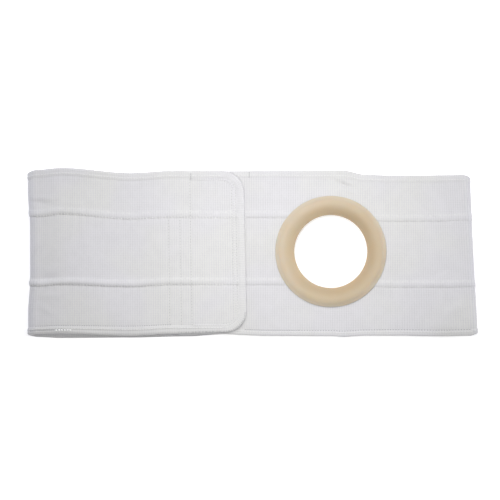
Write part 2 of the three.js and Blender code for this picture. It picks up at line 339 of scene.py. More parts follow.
def part_of(sec, first, last):
    return {name: values[first:last] for name, values in sec.items()}


def nearest(rows, x):
    """Index of the row that lies nearest to x."""
    return int(np.argmin(np.abs(rows[:, 0] - x)))


front_rows = run_rows(FRONT_RUN, 1)
flap_rows = run_rows(FLAP_RUN[:-1], 1)
loop_rows = np.vstack([
    front_rows,
    fold_rows(FRONT_RUN[-1], BACK_RUN[0], 90, -90),
    run_rows(BACK_RUN, -1),
    fold_rows(BACK_RUN[-1], FLAP_RUN[0], 270, 90, LOWER_LEFT_DRAW),
    flap_rows,
])
BELT = sections(np.vstack([loop_rows, corner_rows(FLAP_RUN[-2], FLAP_RUN[-1])]))
LOOP_COUNT = len(loop_rows)
FRONT_COUNT = len(front_rows)
RING_INDEX = nearest(front_rows, RING_X)
BELT_LENGTH = float(BELT["s"][-1, 0])
LOOP_LENGTH = float(BELT["s"][LOOP_COUNT - 1, 0])
FRONT_LENGTH = float(BELT["s"][FRONT_COUNT, 0])
FLAP_FIRST = LOOP_COUNT - len(flap_rows)
FLAP_FROM = float(BELT["s"][FLAP_FIRST, 0])
FLAP_EDGE = (FLAP_END, FLAP_RUN[-1][TOP_COLUMN], FLAP_RUN[-1][BOTTOM_COLUMN], CORNER)

# Dark stitch holes above the lower hem, painted shade in the groove of its stitches: distance above it,
# height, pitch, and first and last length
HEM_HOLES = (
    (0.3, CLOTH + 0.1, 1.9, 72.0, 130.0),
    (0.3, CLOTH + 0.1, 2.9, 130.0, FRONT_LENGTH),
    (0.5, CLOTH - 0.1, 2.5, FLAP_FROM, LOOP_LENGTH - 55),
)

# Bar tacks across the upper hem: section of the belt, and y at both ends
TACKS = (
    (nearest(front_rows, -4.2), 86.5, 81.0),
    (nearest(flap_rows, -66.5) + FLAP_FIRST, 84.5, 77.0),
)


# Relief of the cloth


def pinched(y):
    return 1 - eased((np.abs(y) - PINCH_FROM) / (PINCH_TO - PINCH_FROM))


def ring_clearance(sec, y, reach=14):
    """0 under the ring and 1 clear of it, on the front layer."""
    distance = np.hypot(sec["x"] - RING_X, y - RING_Y)
    beside = eased((distance - RING_R - 1) / reach)
    return np.where(sec["s"] <= FRONT_LENGTH, beside, 1.0)


def swell(sec, y):
    """Slow ripples of the cloth, and the fullness of the two folds."""
    waves = np.zeros(np.broadcast(sec["s"], y).shape)
    for height, along, across, phase in RIPPLES:
        waves = waves + height * np.sin(sec["s"] / along + y / across + phase)
    return waves * sec["loose"] * ring_clearance(sec, y) + FOLD_FULLNESS * sec["normal_x"] ** 2


def stitch_grooves(sec, y):
    """Depth that the rows of stitches across the flap draw the cloth in."""
    depth = np.zeros(np.broadcast(sec["x"], y).shape)
    for x_upper, x_lower, y_from, y_to in STITCH_LINES:
        within = (y < y_from + 1) & (y > y_to - 1)
        x = x_upper + (x_lower - x_upper) * (y_from - y) / (y_from - y_to)
        depth = depth + GROOVE_DEPTH * np.exp(-(((sec["x"] - x) / GROOVE_WIDTH) ** 2)) * within
    return depth * (sec["s"] > FLAP_FROM)


def uneven_beat(s, pitch, sway, slow):
    """A wave of that pitch, which runs ahead and falls behind by a share of it, slowly."""
    return np.sin(2 * math.pi * (s / pitch + sway * np.sin(s / slow)))


def seam_pucker(sec, y):
    """Small uneven waves along the lapped seams, which die away beside them."""
    reach = 4.5
    beat = uneven_beat(sec["s"], 8.6, 0.45, 29.0)
    near = np.exp(-np.abs(y - sec["seam1"]) / reach) + np.exp(-np.abs(y - sec["seam2"]) / reach)
    return SEAM_PUCKER * beat * near * ring_clearance(sec, y) * (0.4 + sec["loose"])


def hem_pucker(sec, y):
    """Small uneven waves along the bound edges."""
    reach = 9.0
    beat = uneven_beat(sec["s"], 6.4, 0.35, 17.0)
    near = np.exp(-(sec["top"] - y) / reach) + np.exp(-(y - sec["bottom"]) / reach)
    return HEM_PUCKER * beat * near


def creases(sec, y):
    """Height of the creases, on the layers that show from above."""
    raised = np.zeros(np.broadcast(sec["x"], y).shape)
    for x0, y0, length, width, height, degrees in CREASES:
        along = math.radians(degrees)
        u = (sec["x"] - x0) * math.cos(along) + (y - y0) * math.sin(along)
        v = (y - y0) * math.cos(along) - (sec["x"] - x0) * math.sin(along)
        raised = raised + height * np.exp(-(u / length) ** 2 - (v / width) ** 2)
    upper_layers = (sec["normal_z"] > 0.5) & (sec["loose"] > 0)
    return raised * upper_layers * ring_clearance(sec, y, CREASE_CLEARANCE)


def ribs(sec):
    return RIB_HEIGHT * np.cos(2 * math.pi * sec["s"] / RIB)


def place(sec, y, n):
    """Points in metres, from y across the belt and the height n above the inner face."""
    n = n + swell(sec, y) + creases(sec, y)
    x = sec["x"] + n * sec["normal_x"] + sec["slant"] * y + sec["pinch"] * pinched(y)
    z = sec["lift"] + n * sec["normal_z"]
    return np.stack(np.broadcast_arrays(x, y, z), axis=-1) * MM


def lap_height(sec, y):
    """Height of the outer face above the inner face, with the lapped seams."""
    lap = np.array(LAPPED_EDGE)
    rise = np.zeros(np.broadcast(sec["s"], y).shape)
    for seam, full in FULLNESS.items():
        distance = y - sec[seam]
        over = np.interp(distance, lap[:, 0], lap[:, 1] - CLOTH, left=0.0, right=0.0)
        rise = rise + over * sec[full]
    return CLOTH + rise


# Meshes


def make_object(name, points, faces, materials, uv=None, indices=None):
    mesh = bpy.data.meshes.new(name)
    mesh.from_pydata(points.reshape(-1, 3).tolist(), [], [list(face) for face in faces])
    mesh.polygons.foreach_set("use_smooth", np.ones(len(mesh.polygons), bool))
    for material in materials:
        mesh.materials.append(material)
    if indices is not None:
        mesh.polygons.foreach_set("material_index", np.asarray(indices, np.int32))
    if uv is not None:
        corners = np.zeros(len(mesh.loops), np.int32)
        mesh.loops.foreach_get("vertex_index", corners)
        layer = mesh.uv_layers.new(name="cloth")
        layer.data.foreach_set("uv", uv.reshape(-1, 2)[corners].astype(np.float32).ravel())
    mesh.update()
    mesh.set_sharp_from_angle(angle=math.radians(55))
    made = bpy.data.objects.new(name, mesh)
    bpy.context.scene.collection.objects.link(made)
    return made


def grid_faces(rows, columns, first=0, closed=False):
    """Quads of a grid of points, row by row; closed joins the last column to the first."""
    across = columns if closed else columns - 1
    i, j = np.meshgrid(np.arange(rows - 1), np.arange(across), indexing="ij")
    a = first + i * columns + j
    b = first + i * columns + (j + 1) % columns
    return np.stack([a, b, b + columns, a + columns], axis=-1).reshape(-1, 4)


def closed_loft(name, points, materials, uv=None):
    """A solid from closed rings of points, with flat ends."""
    rows, columns = points.shape[:2]
    faces = grid_faces(rows, columns, closed=True).tolist()
    faces.append(list(range(columns))[::-1])
    faces.append([(rows - 1) * columns + j for j in range(columns)])
    return make_object(name, points, faces, materials, uv)


# Strips


def lapped_edge(sec, line):
    lap = np.array(LAPPED_EDGE)
    outer = CLOTH + (lap[:, 1] - CLOTH) * sec[FULLNESS[line]]
    inner = lap[:, 2] + 0 * sec["s"]
    return sec[line] + lap[:, 0], np.maximum(outer, inner + THINNEST), inner


def tucked_edge(sec, line):
    """The cloth sinks next to a full seam, and stays nearly level next to a flat one."""
    tuck = np.array(TUCKED_EDGE)
    sunk = (CLOTH - tuck[:, 1]) * np.clip(0.1 + 0.75 * sec[FULLNESS[line]], 0, 1)
    outer = np.where(tuck[:, 0] > 0, CLOTH - sunk, tuck[:, 1])
    return sec[line] - tuck[:, 0], outer, tuck[:, 2] + 0 * sec["s"]


def hem_edge(sec, line, inwards):
    """The edge inside a binding, from low to high y; inwards is -1 at the upper hem, 1 at the lower one."""
    hem = np.array((*STITCHED_HEM, STITCHED_HEM[-1]))
    stitched = sec[line] + inwards * sec[HEMS[line]] + inwards * hem[:-1, 0]
    y = np.hstack([stitched, sec[line] + inwards * EDGE])
    outer, inner = (hem[:, k] + 0 * sec["s"] for k in (1, 2))
    return tuple(values[:, ::-inwards] for values in (y, outer, inner))


def strip(name, sec, low, high, inside, materials):
    """A ribbed strip between two shaped edges, with that many points across the plain cloth between them."""
    share = np.arange(1, inside + 1) / (inside + 1)
    span_y = low[0][:, -1:] + (high[0][:, :1] - low[0][:, -1:]) * share
    y = np.hstack([low[0], span_y, high[0]])
    plain = np.full(span_y.shape, CLOTH)
    outer = np.hstack([low[1], plain, high[1]]) + ribs(sec) + seam_pucker(sec, y) + hem_pucker(sec, y)
    outer = outer - stitch_grooves(sec, y)
    inner = np.hstack([low[2], 0 * plain, high[2]]) + 0.5 * seam_pucker(sec, y)
    rows, columns = y.shape
    points = np.vstack([place(sec, y, outer), place(sec, y, inner)])
    one = np.stack([sec["s"] + 0 * y, y], axis=-1)
    top = grid_faces(rows, columns)
    under = grid_faces(rows, columns, rows * columns)[:, ::-1]
    walls = []
    for edge in (0, columns - 1):
        a = np.arange(rows - 1) * columns + edge
        wall = np.stack([a, a + columns, a + columns + rows * columns, a + rows * columns], axis=-1)
        walls.append(wall if edge == 0 else wall[:, ::-1])
    for row in (0, rows - 1):
        a = row * columns + np.arange(columns - 1)
        wall = np.stack([a, a + 1, a + 1 + rows * columns, a + rows * columns], axis=-1)
        walls.append(wall[:, ::-1] if row == 0 else wall)
    faces = np.vstack([top, under, *walls])
    indices = np.zeros(len(faces))
    indices[len(top) : len(top) + len(under)] = 1
    return make_object(name, points, faces.tolist(), materials, np.vstack([one, one]), indices)


def cut_opening(piece):
    """Cuts the round hole for the ring's neck through the front layer."""
    bpy.ops.mesh.primitive_cylinder_add(
        vertices=128, radius=(NECK_R + GAP) * MM, depth=HOLLOW * MM,
        location=(RING_X * MM, RING_Y * MM, (FRONT + PROUD / 2) * MM),
    )
    cutter = bpy.context.object
    modifier = piece.modifiers.new("opening", "BOOLEAN")
    modifier.operation = "DIFFERENCE"
    modifier.solver = "MANIFOLD"
    modifier.object = cutter
    bpy.context.view_layer.update()
    cut = bpy.data.meshes.new_from_object(piece.evaluated_get(bpy.context.evaluated_depsgraph_get()))
    piece.modifiers.remove(modifier)
    piece.data = cut
    bpy.data.objects.remove(cutter)
    return piece


# Bindings


def crest(sec):
    """Height of the ridge that the hem stitches run along."""
    once, twice = BINDING[CREST][2:]
    return once + (twice - once) * sec["twice"]


def above_crest(sec):
    """Height of the loose loops, which stand on that ridge."""
    return crest(sec) + 0.3


def binding_profile(hem, twice, s):
    """Distance inwards and height of the U, with the dimples of its stitches."""
    shape = np.array(BINDING)
    inwards = shape[:, 0] * hem + shape[:, 1]
    height = shape[:, 2] + (shape[:, 3] - shape[:, 2]) * twice
    beat = np.cos(2 * math.pi * s / STITCH)
    row = np.exp(-(((inwards - CREST_SHARE * hem) / 0.7) ** 2)) * beat * 0.06
    return inwards, height + np.where(shape[:, 2] > CLOTH, row, 0)


def edge_binding(name, line, sign, materials):
    """Tape over one long edge; sign is 1 for the upper edge and -1 for the lower one."""
    stations = np.append(np.arange(0, LOOP_COUNT, 2), LOOP_COUNT)
    sec = {name: values[stations] for name, values in BELT.items()}
    inwards, n = binding_profile(sec[HEMS[line]], sec["twice"], sec["s"])
    y = sec[line] - sign * inwards
    n = n + np.where(n > CLOTH, 0.4 * ribs(sec), 0) + 0.5 * hem_pucker(sec, y)
    points = place(sec, y, n)
    uv = np.stack([sec["s"] + 0 * y, y], axis=-1)
    if sign > 0:
        points, uv = points[:, ::-1], uv[:, ::-1]
    return closed_loft(name, points, materials, uv)


def rounded_end(path, lead=0.0):
    """Points round a rounded end in the flap's layer: x, y, outward direction and length run.

    path holds its right, top and bottom edge and the radius of its corners, and lead is the length of a
    straight stretch before the first corner and after the last."""
    right, top, bottom, corner = path
    slant_from, slant_to = (row[COLUMNS.index("slant")] for row in FLAP_RUN[-2:])
    arc = np.radians(np.linspace(90, 0, 91))
    down = np.linspace(1, 0, 121)[1:-1]
    upper, lower = top - corner, bottom + corner
    out_x = np.concatenate([np.cos(arc), np.ones(len(down)), np.cos(arc[::-1])])
    out_y = np.concatenate([np.sin(arc), np.zeros(len(down)), -np.sin(arc[::-1])])
    straight_y = lower + (upper - lower) * down
    middle_y = np.concatenate([np.full(len(arc), upper), straight_y, np.full(len(arc), lower)])
    y = middle_y + corner * out_y
    x = right - corner + corner * out_x + (slant_from + (slant_to - slant_from) * out_x) * y
    if lead:
        x = np.concatenate([x[:1] - lead, x, x[-1:] - lead])
        y, out_x, out_y = (np.concatenate([v[:1], v, v[-1:]]) for v in (y, out_x, out_y))
    run = np.concatenate([[0], np.cumsum(np.hypot(np.diff(x), np.diff(y)))])
    return x, y, out_x, out_y, run


def set_in(path, by):
    """A rounded end that far inside another."""
    right, top, bottom, corner = path
    return right - by, top - by, bottom + by, corner - by


def flap_rise(y):
    """How far the cloth under the flap's end stands above a plain strip, at a lapped seam."""
    end = {name: np.array([[value]]) for name, value in zip(COLUMNS, FLAP_RUN[-1])}
    end["s"] = np.zeros((1, 1))
    return lap_height(end, y[None, :])[0] - CLOTH


def loft_round(name, end, inwards, height, materials):
    """A solid round a rounded end, from distances inwards of it and heights above the flap's inner face."""
    x, y, out_x, out_y, run = end
    points = np.stack([x - inwards * out_x, y - inwards * out_y, FLAP + height], axis=-1) * MM
    uv = np.stack([run + 0 * inwards, inwards + 0 * run], axis=-1)
    return closed_loft(name, points[:, ::-1], materials, uv[:, ::-1])


def flap_binding(name, materials):
    """Tape round the flap's end, gathered at both corners and tucked along the lower one."""
    x, y, out_x, out_y, run = (values[:, None] for values in rounded_end(FLAP_EDGE))
    x = x + 0.05 * (1 - out_x)
    end = dict(zip(COLUMNS, FLAP_RUN[-1]))
    hem = end["hem2"]
    inwards, n = binding_profile(np.full(x.shape, hem), end["twice"], run)
    softened = np.pad(flap_rise(y[:, 0]), 3, mode="edge")
    rise = 1.25 * np.convolve(softened, np.ones(7) / 7, mode="valid")[:, None]
    gather = 0.06 * np.abs(out_y) * np.sin(2 * math.pi * run / 5.2) * (inwards / hem)
    wave = np.sin(2 * math.pi * run / 2.5 + np.sin(run / 7.0))
    tuck = 0.22 * np.clip(-out_y, 0, 1) * wave * np.exp(-((inwards / 2.6) ** 2))
    height = n + np.where(n > CLOTH, rise + gather + tuck, 0)
    return loft_round(name, (x, y, out_x, out_y, run), inwards, height, materials)


def border_ridge(name, materials):
    """The hook panel's edge under the flap, highest along the top and bottom and low along the end."""
    x, y, out_x, out_y, run = (values[:, None] for values in rounded_end(BORDER, BORDER_LEAD))
    inwards, height = np.array(RIDGE).T
    full = 1 - 0.55 * out_x ** 4
    raised = CLOTH + flap_rise(y[:, 0])[:, None] + height * full
    return loft_round(name, (x, y, out_x, out_y, run), inwards, raised, materials)


# Hook panel


def hook_panel(name, materials):
    """A thin plate with two rounded corners and softened edges."""
    arc = np.radians(np.linspace(-90, 0, 13))
    arc_x = HOOK_RIGHT - HOOK_CORNER
    corner = np.column_stack([arc_x + HOOK_CORNER * np.cos(arc), HOOK_CORNER * (1 + np.sin(arc))])
    outline = np.vstack([
        (HOOK_LEFT, HOOK_BOTTOM),
        corner + (0, HOOK_BOTTOM),
        (corner * (1, -1) + (0, HOOK_TOP))[::-1],
        (HOOK_LEFT, HOOK_TOP),
    ])
    centre = outline.mean(axis=0)
    low = FLAP - GAP - HOOK
    levels = ((0.985, low), (1.0, low + 0.35), (1.0, low + HOOK - 0.3), (0.99, low + HOOK))
    rings = [np.column_stack([centre + (outline - centre) * k, np.full(len(outline), z)]) for k, z in levels]
    return closed_loft(name, np.array(rings) * MM, materials)


# Ring


def bezier(points, steps):
    t = np.linspace(0, 1, steps + 1)[:, None]
    a, b, c, d = np.array(points)
    return a * (1 - t) ** 3 + 3 * b * t * (1 - t) ** 2 + 3 * c * t ** 2 * (1 - t) + d * t ** 3


def ring_profile():
    """Radius and height above the front layer's inner face, once round the ring's section."""
    under = -GAP - BACK_FLANGE
    seat = CLOTH + GAP
    top = CLOTH + CROWN
    lip = seat + LIP
    rim = bezier([(RING_R - 0.7, lip), (RING_R - 3, lip + 1.2), (CREST_R + 4, top), (CREST_R, top)], 14)
    bore_top = (BORE_R + 0.8, under + 2.6)
    slope = bezier([(CREST_R, top), (CREST_R - 5, top), (BORE_R + 2.2, under + 4.5), bore_top], 26)
    bore = [
        (BORE_R + 0.3, under + 1.9),
        (BORE_R, under + 0.9),
        (BORE_R + 0.12, under + 0.5),
        (BORE_R + 0.5, under + 0.12),
        (BORE_R + 1.1, under),
    ]
    back_flange = [
        (BACK_FLANGE_R - 1.2, under),
        (BACK_FLANGE_R - 0.4, under + 0.25),
        (BACK_FLANGE_R, under + 0.9),
        (BACK_FLANGE_R, -GAP - 0.2),
        (BACK_FLANGE_R - 0.2, -GAP),
    ]
    groove = [(NECK_R, -GAP), (NECK_R, seat), (NECK_R + 3, seat), (NECK_R + 6, seat), (NECK_R + 9, seat)]
    edge = [
        (RING_R - 2, seat),
        (RING_R - 0.6, seat),
        (RING_R - 0.15, seat + 0.2),
        (RING_R, seat + 0.55),
        (RING_R - 0.02, lip - 0.6),
        (RING_R - 0.2, lip - 0.25),
    ]
    return np.vstack([bore, back_flange, groove, edge, rim, slope[1:-1]])


def opening_ring(name, materials):
    profile = ring_profile()
    turn = np.linspace(0, 2 * math.pi, 193)[:-1]
    x = RING_X + profile[:, 0] * np.sin(turn)[:, None]
    y = RING_Y + profile[:, 0] * np.cos(turn)[:, None]
    height = profile[:, 1] + 0 * x
    here = {key: np.interp(x.ravel(), front_rows[:, 0], front_rows[:, i]).reshape(x.shape)
            for i, key in enumerate(COLUMNS)}
    here["s"] = here["x"]
    seated = (profile[:, 0] > NECK_R + 0.1) & (profile[:, 1] > 0) & (profile[:, 1] < CLOTH + GAP + 0.3)
    raised = np.maximum(height - GAP, lap_height(here, y)) + 0.03
    height = np.where(seated[None, :], raised, height)
    points = np.stack([x, y, FRONT + height], axis=-1) * MM
    rows, columns = points.shape[:2]
    faces = grid_faces(rows + 1, columns, closed=True) % (rows * columns)
    return make_object(name, points, faces.tolist(), materials)


# Stitches


def bead():
    """Points and faces of a small rounded stitch of unit length, width and height."""
    sides = 6
    turns = np.radians(np.arange(sides) * 360 / sides)
    points = [(-0.5, 0, 0)]
    for x, full in ((-0.38, 0.62), (0.0, 1.0), (0.38, 0.62)):
        points += [(x, 0.5 * full * math.cos(turn), 0.5 * full * math.sin(turn)) for turn in turns]
    points.append((0.5, 0, 0))
    tip = len(points) - 1
    pairs = [(k, (k + 1) % sides) for k in range(sides)]
    faces = [(0, 1 + b, 1 + a) for a, b in pairs]
    for near in (1, 1 + sides):
        far = near + sides
        faces += [(near + a, near + b, far + b, far + a) for a, b in pairs]
    faces += [(tip, tip - sides + a, tip - sides + b) for a, b in pairs]
    return np.array(points), faces


def unit(vectors):
    return vectors / np.linalg.norm(vectors, axis=1, keepdims=True)


def joined(rows):
    """Rows of stitches as one row: middles in metres, unit vectors along, and outward normals."""
    middle, along, normal = (np.concatenate([row[k] for row in rows]) for k in range(3))
    return middle, unit(along), normal


def stitches(name, rows, size, materials):
    """One mesh of stitches. A row holds middles and along vectors in metres, and outward normals."""
    shape, faces = bead()
    middle, along, normal = joined(rows)
    side = unit(np.cross(normal, along))
    up = np.cross(along, side)
    local = shape * np.array(size) * MM
    points = (middle[:, None] + local[None, :, :1] * along[:, None] + local[None, :, 1:2] * side[:, None]
              + local[None, :, 2:] * up[:, None])
    count = len(shape)
    made = [[k * count + v for v in face] for k in range(len(middle)) for face in faces]
    return make_object(name, points, made, materials)


def at_lengths(lengths):
    """Sections of the belt at the given lengths along it."""
    s = BELT["s"][:, 0]
    return {name: np.interp(lengths, s, values[:, 0])[:, None] for name, values in BELT.items()}


def row_along(line, share, more, height, pitch, first=4.0, last=None):
    """A row of straight stitches along an edge of the loop, from first to last along its length.

    It lies inwards of the edge by a share of the hem and more millimetres. Its height above the inner face is
    a number or a function of the sections."""
    lengths = np.arange(first, LOOP_LENGTH - 2 if last is None else last, pitch)
    inwards = -1 if line == "top" else 1
    spots = []
    for ahead in (0, 0.4):
        sec = at_lengths(lengths + ahead)
        y = sec[line] + inwards * (share * sec[HEMS[line]] + more)
        spots.append(place(sec, y, (height(sec) if callable(height) else height) + 0 * y)[:, 0])
    sec = at_lengths(lengths)
    normal = np.column_stack([sec["normal_x"], 0 * sec["s"], sec["normal_z"]])
    return spots[0], spots[1] - spots[0], normal


def row_over_seam(line, from_seam, to_seam, pitch, first=SEAM_FIRST, last=None):
    """Overlock stitches across a lapped seam, leaning a little."""
    lengths = np.arange(first, BELT_LENGTH - 12 if last is None else last, pitch)
    sec, ahead = at_lengths(lengths), at_lengths(lengths + 0.5)
    clear = ring_clearance(sec, sec[line])[:, 0] > 0.05
    upper = sec[line] + to_seam
    lower = sec[line] + from_seam
    high = place(sec, upper, lap_height(sec, upper) + 0.02)[:, 0]
    low = place(ahead, lower, lap_height(ahead, lower) - 0.1)[:, 0]
    normal = unit(np.column_stack([sec["normal_x"], 0.7 + 0 * upper, sec["normal_z"]]))
    return ((high + low) / 2)[clear], (high - low)[clear], normal[clear]


def row_down(x_upper, x_lower, y_from, y_to):
    """Stitches down the flap's layer, leaning a little."""
    y = np.arange(y_from, y_to, -STITCH)[:, None]
    x = x_upper + (x_lower - x_upper) * (y_from - y) / (y_from - y_to)
    of_flap = slice(FLAP_FIRST, LOOP_COUNT)
    sec = at_lengths(np.interp(x[:, 0], BELT["x"][of_flap, 0], BELT["s"][of_flap, 0]))
    middle = place(sec, y, lap_height(sec, y) - 0.1)[:, 0]
    ahead = place(sec, y - 0.5, lap_height(sec, y - 0.5) - 0.1)[:, 0]
    return middle, ahead - middle, np.tile((0.0, 0.0, 1.0), (len(y), 1))


def row_round(path):
    """Stitches round a rounded end in the flap's layer."""
    x, y, _, _, run = rounded_end(path)
    z = FLAP + CLOTH + 0.03 + flap_rise(y)
    lengths = np.arange(1.0, run[-1], STITCH)
    spots = [np.column_stack([np.interp(lengths + d, run, v) for v in (x, y, z)]) * MM for d in (0, 0.5)]
    return spots[0], spots[1] - spots[0], np.tile((0.0, 0.0, 1.0), (len(lengths), 1))


def uneven(first, last, pitch, sway, turn):
    """Lengths from first to last at a pitch, each shifted by up to sway."""
    lengths = np.arange(first, last, pitch)
    return lengths + sway * np.sin(lengths * turn)


def gathers(inset, height):
    """Short tucks over the rolled edge, along the flap's lower edge and round its lower corner, drawn as dark
    strokes of painted shade.
    """
    lengths = uneven(LOOP_LENGTH - 48, LOOP_LENGTH, 2.4, 0.9, 1.7)
    sec = at_lengths(lengths)
    straight = place(sec, sec["bottom"] + inset, height + 0 * sec["s"])[:, 0]
    x, y, out_x, out_y, run = rounded_end(set_in(FLAP_EDGE, inset))
    spots = uneven(run[np.argmax(out_y < -0.1)], run[-1], 2.1, 0.7, 2.3)
    spot_x, spot_y, round_x, round_y = (np.interp(spots, run, values) for values in (x, y, out_x, out_y))
    corner = np.column_stack([spot_x, spot_y, 0 * spots + FLAP + height]) * MM
    outward = np.vstack([np.tile((0.0, -1.0), (len(lengths), 1)), np.column_stack([round_x, round_y])])
    level = np.ones((len(outward), 1))
    along = np.hstack([outward, -0.8 * level])
    normal = np.hstack([0.6 * outward, 0.8 * level])
    return np.vstack([straight, corner]), along, normal


def needle_holes(rows):
    """Small dimples at both ends of each stitch, drawn dark as painted shade in the needle holes."""
    middle, along, normal = joined(rows)
    return middle + along * STITCH / 2 * MM - normal * 0.02 * MM, along, normal


def bar_tack(first, y_from, y_to):
    """A short row of tight stitches across the upper hem, where two lengths of tape meet, drawn dark as
    painted shade of its dense holes.
    """
    y = np.arange(y_from, y_to, -TACK)[:, None]
    sec = {name: np.repeat(values[first : first + 1], len(y), axis=0) for name, values in BELT.items()}
    middle = place(sec, y, np.where(y > sec["top"] - sec["hem1"], crest(sec), CLOTH))[:, 0]
    return middle, np.tile((0.0, 1.0, 0.0), (len(y), 1)), np.tile((0.0, 0.0, 1.0), (len(y), 1))


def over_seams(*stitch):
    """A row of stitches across each lapped seam."""
    return [row_over_seam(line, *stitch) for line in FULLNESS]


def sewn(table):
    """Pieces from a table of name, rows of stitches, size (along, across and up) and material."""
    return [stitches(name, rows, size, [material]) for name, rows, size, material in table]


# Materials


class Shader:
    """A Principled material and short ways to add nodes to it."""

    def __init__(self, name, **values):
        self.material = bpy.data.materials.new(name)
        self.material.use_nodes = True
        self.tree = self.material.node_tree
        self.surface = self.tree.nodes["Principled BSDF"]
        self.place = self.add("ShaderNodeTexCoord").outputs["Object"]
        for socket, value in values.items():
            self.surface.inputs[socket.replace("_", " ")].default_value = value

    def add(self, kind, inputs=None, **settings):
        made = self.tree.nodes.new(kind)
        for name, value in settings.items():
            setattr(made, name, value)
        for socket, value in (inputs or {}).items():
            if isinstance(value, bpy.types.NodeSocket):
                self.tree.links.new(value, made.inputs[socket])
            else:
                made.inputs[socket].default_value = value
        return made

    def math(self, operation, a, b=0.0):
        return self.add("ShaderNodeMath", {0: a, 1: b}, operation=operation).outputs[0]

    def plus(self, a, b, share):
        """a, and a share of b."""
        return self.math("ADD", a, self.math("MULTIPLY", b, share))

    def wave(self, value, pitch):
        """A cosine of that pitch, from 0 to 1."""
        turned = self.math("COSINE", self.math("MULTIPLY", value, 2 * math.pi / pitch))
        return self.math("MULTIPLY_ADD", turned, 0.5)

    def noise(self, scale, detail=2.0, roughness=0.5):
        values = {"Vector": self.place, "Scale": scale, "Detail": detail, "Roughness": roughness}
        return self.add("ShaderNodeTexNoise", values).outputs[0]

    def mix(self, factor, *colours):
        """A blend of two colours, each a tuple or a socket."""
        first, second = ((*colour, 1) if isinstance(colour, tuple) else colour for colour in colours)
        return self.add("ShaderNodeMix", {0: factor, 6: first, 7: second}, data_type="RGBA").outputs[2]

    def ramp(self, value, low, high):
        """A smooth step from low to high."""
        values = {"Value": value, "From Min": low, "From Max": high}
        return self.add("ShaderNodeMapRange", values, interpolation_type="SMOOTHSTEP").outputs[0]

    def colour(self, socket):
        self.tree.links.new(socket, self.surface.inputs["Base Color"])

    def bump(self, height, strength, distance):
        made = self.add("ShaderNodeBump", {"Height": height, "Strength": strength, "Distance": distance})
        self.tree.links.new(made.outputs[0], self.surface.inputs["Normal"])


def woven(name, light, shade, valley_shade, thread, **values):
    """Ribbed elastic: ribs along the belt, fine threads across, and a faint uneven tone. The valleys between
    ribs and threads are painted darker as painted shade, deeper or fainter in random patches.
    """
    shader = Shader(name, **values)
    uv = shader.add("ShaderNodeUVMap", uv_map="cloth").outputs[0]
    split = shader.add("ShaderNodeSeparateXYZ", {0: uv})
    wobble = shader.noise(320.0)
    along = shader.plus(split.outputs[0], wobble, 0.5)
    across = shader.plus(split.outputs[1], wobble, 0.4)
    rib = shader.wave(along, RIB)
    cross = shader.wave(across, thread)
    tone = shader.ramp(shader.noise(15.0), 0.38, 0.64)
    valley_shade_patches = shader.ramp(shader.noise(95.0), 0.3, 0.7)
    fuzz = shader.noise(2600.0, 3.0, 0.65)
    slub = shader.ramp(shader.noise(620.0), 0.3, 0.7)
    threads = shader.plus(shader.math("MULTIPLY", rib, 0.66), cross, 0.34)
    weave = shader.plus(shader.math("MULTIPLY", threads, 0.82), slub, 0.18)
    cloth = shader.mix(tone, light, shade)
    # painted shade: the weave's valleys take a darker copy of the cloth's colour, deeper or fainter in random
    # patches
    deep, shallow = (tuple(c * depth for c in shade) for depth in (valley_shade, valley_shade + 0.05))
    dark = shader.mix(valley_shade_patches, deep, shallow)
    shader.colour(shader.mix(weave, dark, cloth))
    shader.bump(shader.plus(weave, fuzz, 0.5), 0.4, 0.00022)
    return shader.material


def brushed(name, light, shade):
    """The soft napped side that lies against the body, with a faint painted glow from its emission, which
    keeps it white in the shade inside the loop.
    """
    # the emission is painted light: a glow of the cloth, which is no lamp
    shader = Shader(name, Roughness=0.95, Specular_IOR_Level=0.1, Emission_Color=(1, 1, 1, 1),
                    Emission_Strength=0.2)
    nap = shader.noise(900.0, 4.0, 0.7)
    shader.colour(shader.mix(shader.ramp(nap, 0.3, 0.7), shade, light))
    shader.bump(nap, 0.35, 0.0004)
    return shader.material


def thread(name, colour):
    shader = Shader(name, Roughness=0.7, Specular_IOR_Level=0.3)
    twist = shader.noise(1800.0)
    shader.colour(shader.mix(twist, tuple(c * 0.9 for c in colour), colour))
    shader.bump(twist, 0.3, 0.0001)
    return shader.material


def hooks(name):
    shader = Shader(name, Roughness=0.5, Specular_IOR_Level=0.4)
    dots = shader.add("ShaderNodeTexVoronoi", {"Vector": shader.place, "Scale": 900.0}).outputs["Distance"]
    shader.colour(shader.mix(dots, (0.72, 0.72, 0.70), (0.6, 0.6, 0.59)))
    shader.bump(dots, 0.8, 0.0006)
    return shader.material


